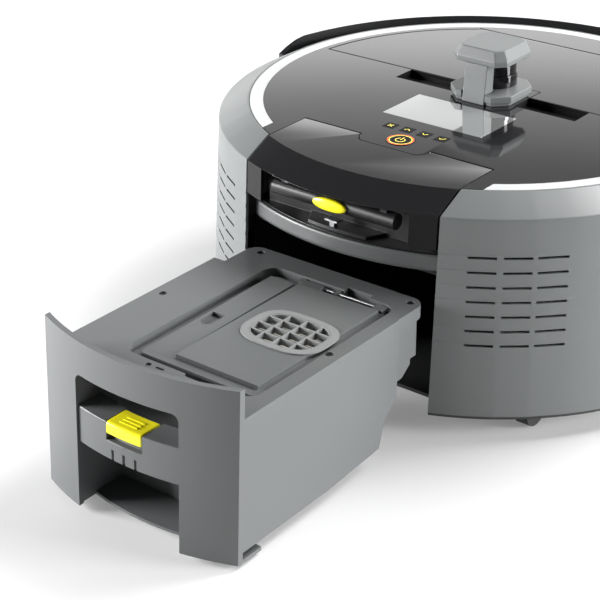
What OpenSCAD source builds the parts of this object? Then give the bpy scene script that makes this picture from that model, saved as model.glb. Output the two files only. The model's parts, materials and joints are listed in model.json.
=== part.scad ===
// Round robotic floor vacuum with a pull-out dust drawer.
// Frame: origin on the floor under the turning axis, +Z up, +Y forward. The drawer pulls out along -Y.

/* [Shell] */
// Radius of the shell at its shoulder
shell_r = 300; // [295:1:305]
// Radius of the flared skirt at its lower edge
skirt_r = 310; // [306:1:312]
// Radius where the sloped shoulder meets the deck
deck_edge_r = 267.7; // [267:0.1:269]
// Height of the skirt's lower edge above the floor
skirt_z = 27; // [26:1:28]
// Height of the shoulder line
shoulder_z = 243; // [241:1:244]
// Height of the top deck
deck_z = 260; // [259:1:262]
// Wall thickness of the moulded shells
wall = 3; // [2.5:0.5:3]
// Half width of the slot at the rear
slot_half = 121.2; // [121:0.1:122]
// Inner and outer radius of the light ring
ring_r = [250, 265]; // [249:1:266]

/* [Vents] */
// Height of the lowest row of vents
vent_z = 107; // [100:1:110]
// Spacing of the rows
vent_pitch = 15.9; // [15:0.1:16]
// Number of rows
vent_rows = 7; // [5:1:8]
// Height of one vent
vent_h = 2.6; // [2:0.1:3]

/* [Drawer] */
// How far the drawer is pulled out
drawer_out = 299.6; // [290:0.1:305]
// Half width of the front panel
panel_half = 120; // [119:0.5:120.5]
// Lower and upper edge of the front panel
panel_z = [6, 184.8]; // [5:0.1:188]
// Half width of the tub
tub_half = 118; // [117:0.5:119]
// Height of the tub's rim
rim_z = 153; // [151:1:154]
// Half width of the grip opening
grip_half = 64; // [60:1:65]
// Lower and upper edge of the grip bar
grip_z = [76.5, 115]; // [74:0.5:118]
// Half width of the latch
latch_half = 22; // [20:1:23]

/* [Deck] */
// Half width of the service lid
lid_half = 120; // [118:0.5:120]
// Hinge line of the service lid
lid_y = -175; // [-178:1:-174]
// Straight edges of the front hatch
hatch_y = [26, 203]; // [26:1:203]
// Radius of the front hatch
hatch_r = 241; // [238:1:242]
// Side of a menu key
key_w = 14; // [12:0.5:14]
// Spacing of the menu keys
key_pitch = 22; // [20:0.5:22]
// Radius of the power button
power_r = 15.3; // [14:0.1:15.5]

/* [Sensor tower] */
// Centre of the rotating sensor along Y
lidar_y = 18; // [17:0.5:19]
// Radius of the sensor housing
lidar_r = 24.5; // [23:0.5:25]

/* [Running gear] */
// Radius of a drive wheel
wheel_r = 70; // [70:1:70]
// Middle of a drive wheel along X
wheel_x = 233; // [232:1:234]
// Radius of a caster wheel
caster_r = 20; // [20:1:20]
// Trail of a caster
caster_trail = 12; // [10:1:12]
// Radius of the roller brush over its bristles
roller_r = 33.5; // [32:0.5:33.5]
// Middle of the roller brush along Y
roller_y = 130; // [128:1:131]

/* [Hidden] */
$fn = 120;
fit = 0.05;             // running clearance of a shaft in its bore
far = 400;              // larger than the whole body
step_y = 12;            // the shell steps inwards ahead of this line to clear the bumper
ledge_r = 242;          // inner edge of the ledge that carries the deck
plate = 6;              // thickness of the deck
lid_t = 4;              // thickness of the lid and the hatch
seam = 1.1;             // gap round the lid and the hatch
barrel_r = 2;           // rounded hinge edge of the lid and the hatch
pin_r = 1;              // hinge pins in the deck
pan_z = [23, 27];       // underside and top of the base pan
tray_z = [7, 11];       // underside and top of the tray below the drawer
tray_y = [-230, 40];    // rear and front end of that tray
bay_half = 121.4;       // half width of the drawer bay
bay_y = [-262, 30];     // rear and front end of the bay's liner
ceiling_z = 172;        // underside of the bay's ceiling
fan_xy = [50, -120.4];  // fan axis, over the closed drawer's filter
panel_set = 8;          // how far the panel's curve is set forward on the tub
panel_t = 6;            // thickness of the front panel
grid_xy = [fan_xy[0], fan_xy[1] + panel_set];
grid_out = [47, 36];    // half axes of the filter grid's ring
grid_in = [39.5, 29.5]; // half axes of its opening
band_z = [178.6, 196];  // rear band
band_in = 12;           // how far the band is set back
band_half = 119.4;
recess_y = -258;        // rear face of the wall behind the grip bar
bar_y = -281;           // grip bar of the service lid
bar_z = 228;
bar_r = 8.5;
hinge_y = -10.6;        // container lid hinge, drawer closed
hinge_z = 149;
hinge_r = 1.5;
well_floor = 143;       // floor of the sunken area in the tub's top
well_x = [-58, 101];
well_y = [-232.4, -5.4];
pocket_y = -236;        // rear wall of the grip recess
screw_spots = [[-105, -122.4], [105, -122.4], [-86.5, 11.6], [105, 11.6]];
caster_spots = [[0, 235], [-193, -186], [193, -186]];
brush_spots = [[-188, 198], [188, 198]];
arm_y = 84;             // pivot of a wheel arm
arm_z = 76;
pivot_r = 5;
axle_r = 6;
grey = "#8e9294";
drawer_grey = "#7d8082";
dark = "#2a2b2d";
black = "#141516";
yellow = "#f3e21a";

// Radius of the shell's sloping wall at height z, less an inset
function cone_r(z, inset = 0) =
    skirt_r - (z - skirt_z) * (skirt_r - shell_r) / (shoulder_z - skirt_z) - inset;
// Points of a rounded oval with half axes a and b
function oval(a, b, n = 3, steps = 72) = [for (k = [0:steps - 1]) let (t = k * 360 / steps)
    [a * sign(cos(t)) * pow(abs(cos(t)), 2 / n), b * sign(sin(t)) * pow(abs(sin(t)), 2 / n)]];

// Box with rounded upright corners
module rounded(x, y, z, r) translate([0, 0, z[0]]) linear_extrude(z[1] - z[0]) union() {
    translate([x[0] + r, y[0]]) square([x[1] - x[0] - 2 * r, y[1] - y[0]]);
    translate([x[0], y[0] + r]) square([x[1] - x[0], y[1] - y[0] - 2 * r]);
    for (i = [0, 1], j = [0, 1])
        translate([x[i] + (i == 0 ? r : -r), y[j] + (j == 0 ? r : -r)]) circle(r);
}
// Box from two opposite corners
module span(x, y, z) translate([x[0], y[0], z[0]]) cube([x[1] - x[0], y[1] - y[0], z[1] - z[0]]);
// The children, and their mirror image across the middle
module pair() {
    children();
    mirror([1, 0, 0]) children();
}
// Wall that follows the shell between two heights
module cone_wall(z0, z1, inset, t) rotate_extrude() polygon([
    [cone_r(z0, inset + t), z0], [cone_r(z0, inset), z0],
    [cone_r(z1, inset), z1], [cone_r(z1, inset + t), z1]]);
// Everything inside the shell's sloping wall
module cone_fill(inset) rotate_extrude() polygon([
    [0, 0], [cone_r(0, inset), 0], [cone_r(200, inset), 200], [0, 200]]);
// Shaft or hole along X
module rod_x(r, x0, x1, y, z) translate([x0, y, z]) rotate([0, 90, 0]) cylinder(r = r, h = x1 - x0);
module rod_y(r, x, y0, y1, z) translate([x, y0, z]) rotate([-90, 0, 0]) cylinder(r = r, h = y1 - y0);
module closed_drawer() translate([0, -drawer_out - panel_set, 0]) children();
module at_panel() translate([0, panel_set, 0]) children();

// ---- outer shell
module shell_section(low_r) rotate_extrude() polygon([
    [low_r, skirt_z], [shell_r, shoulder_z], [deck_edge_r, deck_z], [ring_r[1] + 0.4, deck_z],
    [ring_r[1] + 0.4, deck_z - plate], [ledge_r, deck_z - plate], [ledge_r, deck_z - 10],
    [280.2, deck_z - 10], [shell_r - wall, shoulder_z - 1.8], [low_r - wall, skirt_z]]);

module vents() for (row = [0:vent_rows - 1], slot = [[32.25, 29.2], [39, 29.2], [45.7, 31.6]])
    translate([0, 0, vent_z + row * vent_pitch]) rotate([0, 0, -90 + slot[0]])
        translate([shell_r + 4, 0, 0]) cube([20, slot[1], vent_h], center = true);

module side_panel(side) color(grey) mirror([side < 0 ? 1 : 0, 0, 0]) difference() {
    union() {
        intersection() { shell_section(skirt_r); span([0, far], [-far, step_y], [0, far]); }
        intersection() { shell_section(shell_r); span([0, far], [step_y, far], [0, far]); }
        intersection() {
            cone_wall(skirt_z, shoulder_z - 4, 0, 14);
            span([0, far], [step_y - wall, step_y], [0, far]);
        }
    }
    span([-1, slot_half], [-far, 0], [0, far]);
    vents();
    rod_y(6, 120, 262, 300, 50);
}
module side_panel_left() side_panel(-1);
module side_panel_right() side_panel(1);

module light_ring() color("#f2f3f3") difference() {
    rotate_extrude() translate([ring_r[0], deck_z - plate]) square([ring_r[1] - ring_r[0], plate]);
    span([-140, 140], [-far, 0], [0, far]);
}

module lid_plan(gap) difference() {
    translate([-lid_half - gap, -far]) square([2 * (lid_half + gap), far + lid_y + gap]);
    polygon([[-45 + gap, lid_y + 2], [-45 + gap, lid_y - 5], [-37 + gap, lid_y - 17 + gap],
        [37 - gap, lid_y - 17 + gap], [45 - gap, lid_y - 5], [45 - gap, lid_y + 2]]);
}
module hatch_plan(gap) difference() {
    intersection() {
        circle(hatch_r + gap);
        translate([-far, hatch_y[0] - gap]) square([2 * far, hatch_y[1] - hatch_y[0] - barrel_r + gap]);
    }
    translate([-42 + gap, 0]) square([84 - 2 * gap, 49 - gap]);
}

module top_deck() color(black) difference() {
    union() {
        translate([0, 0, deck_z - plate]) linear_extrude(plate) union() {
            circle(ring_r[0] - 0.2);
            intersection() { circle(ring_r[1]); translate([-139.7, -far]) square([279.4, far]); }
        }
        pair() span([38, 121], [-11, 29], [deck_z - 11, deck_z - plate]);
    }
    translate([0, 0, deck_z - 20]) linear_extrude(40) lid_plan(seam);
    translate([0, 0, deck_z - lid_t]) linear_extrude(20) hatch_plan(seam);
    span([-137, 137], [hatch_y[1] - 3, hatch_y[1] + seam], [deck_z - lid_t - 0.4, deck_z + 1]);
    translate([0, 0, deck_z - 20]) linear_extrude(30) difference() {
        intersection() { circle(hatch_r - 8); translate([-far, 34]) square([2 * far, 160]); }
        translate([-50, 30]) square([100, 27]);
    }
    pair() span([41, 118], [-8, 25.5], [deck_z - 9, deck_z + 1]);
    span([-64, 64], [-110, -39], [deck_z - 1.4, deck_z + 1]);
    for (k = [-1.5:1:1.5]) translate([k * key_pitch, -138, deck_z])
        cube([key_w + 0.6, key_w + 0.6, 30], center = true);
    translate([0, -167, deck_z - 20]) cylinder(r = power_r + 0.4, h = 30);
    pair() rod_x(pin_r, 38, 124, lid_y - barrel_r, deck_z - barrel_r);
    rod_x(pin_r, -138, 138, hatch_y[1] - barrel_r, deck_z - barrel_r);
}

module display_screen() color("#c9cdce") span([-64, 64], [-110, -39], [deck_z - 1.4, deck_z]);

module control_board() color("#2f5d3a") {
    span([-72, 72], [-184, -30], [244, 245.6]);
    pair() for (y = [-40, -150]) translate([66, y, 245.6]) cylinder(r = 3, h = deck_z - plate - 245.6);
    for (k = [-1.5:1:1.5]) translate([k * key_pitch, -138, 245.6]) cylinder(r = 2.5, h = 1.4);
    translate([0, -167, 245.6]) cylinder(r = 4, h = 1.4);
}

// ---- rear opening
module rear_band() color(grey) intersection() {
    cone_wall(band_z[0], band_z[1], band_in, 4);
    span([-band_half, band_half], [-far, 0], [0, far]);
}

module recess_shelf() color(black) {
    intersection() {
        translate([0, 0, band_z[1] - 3]) cylinder(r = cone_r(band_z[1], band_in + 4.1), h = 3);
        span([-slot_half + 0.2, slot_half - 0.2], [-far, -186], [0, far]);
    }
    span([-105, 105], [recess_y, recess_y + wall], [band_z[1], 250]);
    pair() span([100, 104], [-250, -190], [ceiling_z + wall, band_z[1] - 3]);
    intersection() {
        translate([0, 0, band_z[1]]) linear_extrude(3)
            polygon([[-48, recess_y], [-34, -284], [34, -284], [48, recess_y]]);
        cylinder(r = 281, h = far);
    }
}

module striker_plate() color("#b9bcbe") {
    span([-9, -3], [-279, -273], [band_z[1] + 3, band_z[1] + 9]);
    span([-14, 2], [-281, -271.2], [band_z[1] + 9, band_z[1] + 11]);
}

module exhaust_filter() color("#e7e4da") span([-95, 95], [-252, -192], [band_z[1], 240]);

// ---- chassis and inner parts
module base_pan() color(dark) difference() {
    union() {
        difference() {
            translate([0, 0, pan_z[0]]) union() {
                intersection() {
                    cylinder(r = 308, h = pan_z[1] - pan_z[0]);
                    span([-far, far], [-far, step_y], [-1, far]);
                }
                cylinder(r = 298.5, h = pan_z[1] - pan_z[0]);
            }
            span([-bay_half, bay_half], [-far, tray_y[1] - wall], [0, far]);
        }
        for (spot = caster_spots) translate([spot[0], spot[1], pan_z[0]])
            cylinder(r = 37, h = 52 - pan_z[0]);
        pair() {
            span([186, 198.6], [arm_y - 10, arm_y + 10], [pan_z[1], arm_z + 12]);
            rod_x(pivot_r, 190, 209.5, arm_y, arm_z);
            span([110, 130], [236, 258], [pan_z[1], 62]);
        }
    }
    pair() {
        span([wheel_x - 27, wheel_x + 29], [-82, 82], [0, 35]);
        rod_y(4 + fit, 120, 230, 264, 50);
        translate([brush_spots[1][0], brush_spots[1][1], 0]) cylinder(r = 5, h = 40);
        span([70, 95], [178, 192], [0, pan_z[0] + 1.2]);
    }
    span([-152, 152], [roller_y - 38, roller_y + 38], [0, 60]);
    for (spot = caster_spots) translate([spot[0], spot[1], -1]) {
        cylinder(r = 34, h = 47);
        cylinder(r = pivot_r + fit, h = 60);
    }
}

module bay_tray() color(dark) {
    span([-bay_half - wall, bay_half + wall], tray_y, tray_z);
    pair() span([bay_half, bay_half + wall], tray_y, [tray_z[1], pan_z[0]]);
    span([-bay_half, bay_half], [tray_y[1] - wall, tray_y[1]], [tray_z[1], pan_z[0]]);
    pair() span([90, 105], [tray_y[0], 20], [tray_z[1], tray_z[1] + 1.7]);
}

// ---- lining of the drawer bay
module bay_wall_left() color(black) span([-bay_half - wall, -bay_half], bay_y, [pan_z[1], ceiling_z + wall]);
module bay_wall_right() color(black) span([bay_half, bay_half + wall], bay_y, [pan_z[1], ceiling_z + wall]);
module bay_ceiling() color(black) difference() {
    span([-bay_half, bay_half], bay_y, [ceiling_z, ceiling_z + wall]);
    translate([fan_xy[0], fan_xy[1], 160]) cylinder(r = 28, h = 30);
}
module bay_end_wall() color(black) difference() {
    span([-bay_half, bay_half], [bay_y[1] - wall, bay_y[1]], [pan_z[1], ceiling_z]);
    span([-56, 56], [0, 60], [84, 136]);
}

module port_seal() color("#1d1e20") translate([fan_xy[0], fan_xy[1], ceiling_z - 9]) difference() {
    cylinder(r = 34, h = 9);
    translate([0, 0, -1]) cylinder(r = 28, h = 11);
}

module suction_duct() color("#35373a") rotate([90, 0, 90]) difference() {
    translate([0, 0, -56]) linear_extrude(112)
        polygon([[3, 84], [3, 136], [34, 136], [94, 84], [94, 58], [82, 58], [34, 84]]);
    translate([0, 0, -53]) linear_extrude(106)
        polygon([[2, 87], [2, 133], [33, 133], [95, 80], [95, 61], [83, 61], [35, 87]]);
}

module brush_housing() color("#303235") difference() {
    union() {
        intersection() {
            rod_x(43, -156, 156, roller_y, 34);
            span([-far, far], [0, far], [pan_z[1], far]);
        }
        span([-59, 59], [94, 116], [56, 80]);
        span([-110, 110], [96, 196], [76, 80]);
        pair() span([104, 110], [96, 190], [pan_z[1], 76]);
    }
    rod_x(39, -152, 152, roller_y, 34);
    rod_x(axle_r + fit, -160, 160, roller_y, 34);
    span([-53, 53], [90, 113], [61, 77]);
}

module battery_pack() color("#3a3d40") {
    span([-85, 85], [98, 194], [80, 200]);
    pair() span([28, 34], [138, 154], [200, 212]);
    span([-34, 34], [138, 154], [212, 217]);
}

module fan_housing() color("#3c3f42") translate([fan_xy[0], fan_xy[1], ceiling_z + wall]) difference() {
    cylinder(r = 60, h = 57);
    translate([0, 0, wall]) cylinder(r = 57, h = 51);
    translate([0, 0, -1]) cylinder(r = 28, h = 10);
    span([-40, 10], [-70, -40], [8, 48]);
}

module fan_motor() color("#9a9da0") translate([fan_xy[0], fan_xy[1], 204]) difference() {
    cylinder(r = 28, h = 25);
    translate([0, 0, -1]) cylinder(r = 4 + fit, h = 18);
}

module fan_impeller() color("#c4c7c9") translate([fan_xy[0], fan_xy[1], 182]) {
    cylinder(r = 48, h = 2);
    cylinder(r = 10, h = 18);
    cylinder(r = 4, h = 36);
    for (a = [0:40:320]) rotate([0, 0, a]) translate([9, 0, 2]) rotate([0, 0, 30])
        span([0, 34], [-1, 1], [-1, 14]);
}

module charge_contacts() color("#c9a45c") pair() span([70, 95], [178, 192], [pan_z[0], pan_z[0] + 1.2]);

module side_brush_motors() color("#54575a") for (spot = brush_spots) translate([spot[0], spot[1], pan_z[1]])
    difference() {
        cylinder(r = 20, h = 40);
        translate([0, 0, -1]) cylinder(r = 4 + fit, h = 24);
    }

module hinge_pins() color("#a7aaad") {
    pair() rod_x(pin_r, 39, 123.5, lid_y - barrel_r, deck_z - barrel_r);
    rod_x(pin_r, -137, 137, hatch_y[1] - barrel_r, deck_z - barrel_r);
}

// ---- sensor tower
module collar_plan() polygon([
    [-24, -28], [24, -28], [40, -12], [40, 31], [24, 47], [-24, 47], [-40, 31], [-40, -12]]);
module tower_base() color(grey) difference() {
    union() {
        translate([0, 0, deck_z]) linear_extrude(4) offset(delta = -2.5) collar_plan();
        translate([0, 0, deck_z + 4]) linear_extrude(8) collar_plan();
    }
    span([-14.9, 14.9], [-40, -9.6], [deck_z - 1, deck_z + 20]);
}

module cap_outline(x, y0, y1, cut) polygon([
    [-x + cut, y0], [x - cut, y0], [x, y0 + cut], [x, y1 - cut], [x - cut, y1], [-x + cut, y1],
    [-x, y1 - cut], [-x, y0 + cut]]);
module tower_bracket() color(grey) {
    rotate([90, 0, 90]) linear_extrude(29, center = true)
        polygon([[-28, deck_z], [-10, deck_z], [-8.5, 305], [-23, 305]]);
    hull() {
        translate([0, 0, 305]) linear_extrude(6) cap_outline(35, -25, 43, 10);
        translate([0, 0, 321]) linear_extrude(1) cap_outline(28.5, -20, 40, 8);
    }
}

module lidar_housing() color(black) translate([0, lidar_y, deck_z + 12]) {
    cylinder(r = lidar_r, h = 14);
    cylinder(r = 4, h = 24);
}

module lidar_rotor() color(black) translate([0, lidar_y, deck_z + 26.3]) difference() {
    union() {
        cylinder(r = lidar_r - 1.5, h = 14);
        cylinder(r = lidar_r - 5, h = 18);
        translate([0, -lidar_r + 1.5, 7]) rotate([90, 0, 0]) cylinder(r = 4, h = 1, center = true);
    }
    translate([0, 0, -1]) cylinder(r = 4 + fit, h = 11.5);
}

// ---- service lid with its grip
module lid_shell() {
    intersection() {
        rotate_extrude() polygon([
            [120, deck_z], [deck_edge_r, deck_z], [shell_r, shoulder_z], [shell_r - wall, shoulder_z - 2],
            [deck_edge_r - 1, deck_z - lid_t], [120, deck_z - lid_t]]);
        linear_extrude(far) intersection() {
            lid_plan(0);
            translate([-far, -far]) square([2 * far, far + lid_y - barrel_r]);
        }
    }
    intersection() {
        cone_wall(207, shoulder_z, 0, 4);
        pair() span([93.5, lid_half], [-far, 0], [200, 250]);
    }
}
module service_lid() color(black) difference() {
    union() {
        lid_shell();
        pair() rod_x(barrel_r, 46, lid_half, lid_y - barrel_r, deck_z - barrel_r);
    }
    pair() rod_x(pin_r + fit, 40, 124, lid_y - barrel_r, deck_z - barrel_r);
}

module lid_grip() color(dark) difference() {
    union() {
        rod_x(bar_r, -77, 77, bar_y, bar_z);
        pair() span([58, 66], [bar_y - 4, bar_y + 4], [bar_z, 246]);
    }
    lid_shell();
    translate([0, -285, bar_z + 1]) rotate([90, 0, 0]) linear_extrude(20) polygon(oval(21.8, 7.2, 2));
    rod_y(3 + fit, 0, -290, -270, bar_z + 1);
}

module lid_button() color(yellow) translate([0, 0, bar_z + 1]) {
    translate([0, -288.5, 0]) rotate([90, 0, 0]) linear_extrude(6) polygon(oval(21, 6.5, 2));
    rod_y(3, 0, -289, -276, 0);
}

// ---- front hatch, bumper and keys
module front_hatch() color(black) difference() {
    union() {
        translate([0, 0, deck_z - lid_t]) linear_extrude(lid_t) hatch_plan(0);
        rod_x(barrel_r, -130, 130, hatch_y[1] - barrel_r, deck_z - barrel_r);
    }
    rod_x(pin_r + fit, -140, 140, hatch_y[1] - barrel_r, deck_z - barrel_r);
}

module bumper() color(black) {
    intersection() {
        rotate_extrude() polygon([[309, 36], [315, 36], [315, 246], [313, 252], [309, 256]]);
        rotate([90, 0, 90]) linear_extrude(2 * far, center = true)
            polygon([[21, 30], [far, 30], [far, 260], [66, 260], [21, 240]]);
    }
    pair() rod_y(4, 120, 246, 287, 50);
}

module menu_key(slot) color(dark) translate([(slot - 1.5) * key_pitch, -138, 0]) {
    translate([0, 0, deck_z - 1.6]) cube([key_w, key_w, 3.8], center = true);
    translate([0, 0, 248.2]) cylinder(r = 2, h = 9);
}
module key_cancel() menu_key(0);
module key_up() menu_key(1);
module key_down() menu_key(2);
module key_confirm() menu_key(3);

module power_button() color(dark) translate([0, -167, 0]) {
    translate([0, 0, deck_z - 3.8]) cylinder(r = power_r, h = 4.4);
    translate([0, 0, 249]) cylinder(r = 3, h = 8);
}

// ---- drawer
module drawer_front() color(drawer_grey) closed_drawer() difference() {
    union() {
        difference() {
            at_panel() intersection() {
                union() {
                    cone_wall(panel_z[0], panel_z[1], 0, panel_t);
                    intersection() {
                        cone_fill(2);
                        pair() span([grip_half, grip_half + wall],
                            [-far, pocket_y + wall - panel_set], [8, 150]);
                    }
                    intersection() {
                        cone_fill(3);
                        pair() span([108, 119], [-far, -252], [4, 8]);
                    }
                }
                span([-panel_half, panel_half], [-far, 0], [0, far]);
            }
            grip_opening();
        }
        intersection() {
            at_panel() cone_fill(22);
            span([-grip_half, grip_half], [-far, pocket_y], [8, 11]);
        }
        span([-grip_half - wall, grip_half + wall], [pocket_y, pocket_y + wall], [8, 150]);
    }
    span([well_x[0] - wall - 0.2, far], [pocket_y, 0], [well_floor - wall - 0.2, far]);
}
module grip_opening() rotate([90, 0, 0]) linear_extrude(far) union() {
    translate([-grip_half, -2]) square([2 * grip_half, 144]);
    for (s = [-1, 1]) translate([s * (grip_half - 8), 142]) circle(8);
    translate([-grip_half + 8, 0]) square([2 * (grip_half - 8), 150]);
}

module tub_side() polygon([[-far, 13], [-140, 15], [-56.4, 21], [-47.4, 50], [-27.4, 66],
    [-27.4, rim_z], [-far, rim_z]]);
module tub_side_inner() polygon([[-far, 16], [-140, 18], [-58.6, 23.9], [-49.8, 52.4], [-30.4, 68],
    [-30.4, rim_z], [-far, rim_z]]);
module along_x(half) rotate([90, 0, 90]) linear_extrude(2 * half, center = true) children();

module hinge_ears() difference() {
    for (x = [[-17, -11], [28, 33]]) span(x, [-14, well_y[1]], [well_floor, 151]);
    rod_x(hinge_r, -20, 40, hinge_y, hinge_z);
}

module tub_outline(inset) intersection() {
    at_panel() cone_fill(panel_t + 0.2 + inset);
    along_x(tub_half - inset) tub_side();
}
module well_block() span([well_x[0] - wall, well_x[1] + wall], [well_y[0] - wall, -27.4],
    [well_floor - wall, rim_z]);
module drawer_tub() color(drawer_grey) closed_drawer() difference() {
    union() {
        difference() {
            tub_outline(0);
            difference() {
                intersection() {
                    at_panel() cone_fill(panel_t + 3.2);
                    along_x(tub_half - wall) tub_side_inner();
                }
                span([-grip_half - 6.4, grip_half + 6.4], [-far, pocket_y + 6.4], [0, far]);
            }
            span([-grip_half - 3.2, grip_half + 3.2], [-far, pocket_y + 3.2], [0, far]);
            span([-far, far], [-far, far], [rim_z - wall, far]);
            well_block();
        }
        rotate([90, 0, 90]) translate([0, 0, -104]) linear_extrude(217)
            polygon([[-27.4, 79], [-12, 80], [2, 90], [2, rim_z - 14], [-27.4, rim_z - 14]]);
        for (x = [[-104, -62], [62, 113]]) span(x, [2, 12], [96, rim_z - 14]);
        span([-58, 58], [2, 8.6], [82, rim_z - 14]);
    }
    // inlet port and the hollows beside it
    span([-52, 52], [-40, 20], [86, 134]);
    pair() span([55, 97], [-24.4, -2.4], [82, rim_z - 17]);
    pair() span([55, 97], [-40, -20], [90, 130]);
}

module tub_top() color(drawer_grey) closed_drawer() {
    hinge_ears();
    difference() {
        union() {
            intersection() { tub_outline(0); span([-far, far], [-far, -27.4], [rim_z - wall, far]); }
            translate([0, 0, rim_z - 14]) linear_extrude(14) union() {
                translate([-104, -27.4]) square([221, 35]);
                translate([-89, -27.4]) square([191, 50]);
                for (x = [-89, 102]) translate([x, 7.6]) circle(15);
            }
            well_block();
        }
        // sunken area and the filling opening in its floor
        rounded(well_x, well_y, [well_floor, rim_z + 9], 16);
        span([-34, 92], [-216, -28], [well_floor - 10, far]);
        // finger cut-out, front notch and small holes
        span([36, 67], [-18.4, 1.6], [well_floor + 1, far]);
        span([22, 75], [-236.4, -230], [well_floor + 2, far]);
        translate([-17, -240.4, rim_z - 2]) cylinder(r = 3.2, h = 9);
        span([-8, 2], [-241.6, -238.6], [rim_z - 1.5, far]);
        // screws
        for (spot = screw_spots) translate([spot[0], spot[1], 0]) {
            translate([0, 0, rim_z - 2.6]) cylinder(r = 4.2, h = 9);
            translate([0, 0, rim_z - 9]) cylinder(r = hinge_r, h = 9);
        }
        rod_x(hinge_r, 93, 103, hinge_y, hinge_z);
    }
}

module drawer_grip() color(drawer_grey) closed_drawer() difference() {
    at_panel() difference() {
        intersection() {
            cone_wall(grip_z[0], grip_z[1], 2.5, 30);
            span([-grip_half, grip_half], [-far, 0], [0, far]);
        }
        intersection() {
            cone_wall(96, 130, 0, 9);
            span([-latch_half - 0.4, latch_half + 0.4], [-far, 0], [0, far]);
        }
        intersection() {
            cone_wall(106.5, 130, 0, 37.5);
            span([-latch_half - 0.4, latch_half + 0.4], [-far, 0], [0, far]);
        }
        for (x = [-14, 0, 14]) intersection() {
            cone_wall(70, 87, 0, 5);
            span([x - 1.2, x + 1.2], [-far, 0], [0, far]);
        }
    }
    translate([0, -282, 86]) cylinder(r = 3 + fit, h = 30);
}

module drawer_latch() color(yellow) closed_drawer() {
    at_panel() intersection() {
        union() {
            cone_wall(112.3, 115.6, 2, 30);
            cone_wall(103.5, 115.6, 2, 3.5);
        }
        span([-latch_half, latch_half], [-far, 0], [0, far]);
    }
    translate([0, -282, 94]) cylinder(r = 3, h = 19);
}

module tub_screws() color("#6b6e70") closed_drawer() for (spot = screw_spots)
    translate([spot[0], spot[1], 0]) {
        translate([0, 0, rim_z - 2.6]) cylinder(r = 3.9, h = 1.6);
        translate([0, 0, rim_z - 8.6]) cylinder(r = hinge_r, h = 6.1);
    }

module container_hinge_pin() color("#a7aaad") closed_drawer() rod_x(hinge_r, -17, 102, hinge_y, hinge_z);

module grid_hole(a, b, z0, z1) translate([grid_xy[0], grid_xy[1], z0]) linear_extrude(z1 - z0)
    polygon(oval(a, b));

module container_lid() color(drawer_grey) closed_drawer() difference() {
    union() {
        rounded([-46, 98], [-222.4, -17.4], [146.3, 149.5], 8);
        span([-9, 90], [-210.4, -22.4], [149.5, 153.5]);
        translate([-43, 0, 0]) rotate([90, 0, 90]) linear_extrude(30)
            polygon([[-214, 149], [-25, 149], [-25, 153], [-60, 153], [-214, 149.6]]);
        for (x = [[-10, 14], [79.5, 92.5]]) {
            span(x, [-20, hinge_y], [hinge_z - 2.7, hinge_z + 3]);
            rod_x(3, x[0], x[1], hinge_y, hinge_z);
        }
    }
    rod_x(hinge_r + fit, -20, 110, hinge_y, hinge_z);
    span([-40, -25], [-138, -120], [147.6, far]);
    translate([-32.5, -138, 147.6]) cylinder(r = 7.5, h = 20);
    grid_hole(grid_in[0], grid_in[1], 100, 200);
}

module filter_grid() color("#6d7072") closed_drawer() {
    difference() {
        grid_hole(grid_out[0], grid_out[1], 153.5, 155);
        grid_hole(grid_in[0], grid_in[1], 150, 160);
    }
    intersection() {
        grid_hole(grid_in[0], grid_in[1], 147.5, 154.6);
        translate([grid_xy[0], grid_xy[1], 0]) for (k = [-1:1]) {
            span([k * grid_in[0] / 2 - 1, k * grid_in[0] / 2 + 1], [-50, 50], [140, 160]);
            span([-50, 50], [k * grid_in[1] / 2 - 1, k * grid_in[1] / 2 + 1], [140, 160]);
        }
    }
    difference() {
        grid_hole(grid_in[0], grid_in[1], 147.5, 154.6);
        grid_hole(grid_in[0] - 1.7, grid_in[1] - 1.7, 140, 160);
    }
}

module pleated_filter() color("#e9e6dc") closed_drawer() rotate([90, 0, 0])
    translate([0, 0, -grid_xy[1] - 31]) linear_extrude(62) polygon(concat(
        [[grid_xy[0] + 41, 146.3], [grid_xy[0] - 41, 146.3], [grid_xy[0] - 41, 142]],
        [for (k = [0:12]) [grid_xy[0] - 36 + k * 6, k % 2 == 0 ? 124 : 140]], [[grid_xy[0] + 41, 142]]));

// ---- running gear
module wheel_arm(side) color("#46494c") mirror([side < 0 ? 1 : 0, 0, 0]) difference() {
    union() {
        translate([199.5, 0, 0]) rotate([90, 0, 90]) linear_extrude(8.5) hull() {
            translate([arm_y, arm_z]) circle(12, $fn = 32);
            translate([0, wheel_r]) circle(16, $fn = 32);
        }
        rod_x(20, 150, 199.5, 0, wheel_r);
    }
    rod_x(pivot_r + fit, 180, 220, arm_y, arm_z);
    rod_x(axle_r + fit, 190, 220, 0, wheel_r);
}
module wheel_arm_left() wheel_arm(-1);
module wheel_arm_right() wheel_arm(1);

module wheel_hub(side) color("#b6b9bb") mirror([side < 0 ? 1 : 0, 0, 0]) difference() {
    union() {
        rod_x(47, wheel_x - 18, wheel_x + 18, 0, wheel_r);
        rod_x(axle_r, 191, wheel_x, 0, wheel_r);
        rod_x(12, 208.6, wheel_x, 0, wheel_r);
    }
    for (a = [0:60:300]) translate([wheel_x, 0, wheel_r]) rotate([a, 0, 0]) rod_x(8, -30, 30, 29, 0);
}
module wheel_hub_left() wheel_hub(-1);
module wheel_hub_right() wheel_hub(1);

module wheel_tyre(side) color("#1b1c1d") mirror([side < 0 ? 1 : 0, 0, 0]) translate([wheel_x, 0, wheel_r])
    rotate([0, 90, 0]) rotate_extrude() polygon([
        [47, -18], [66, -20], [wheel_r, -16], [wheel_r, 16], [66, 20], [47, 18]]);
module wheel_tyre_left() wheel_tyre(-1);
module wheel_tyre_right() wheel_tyre(1);

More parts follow.
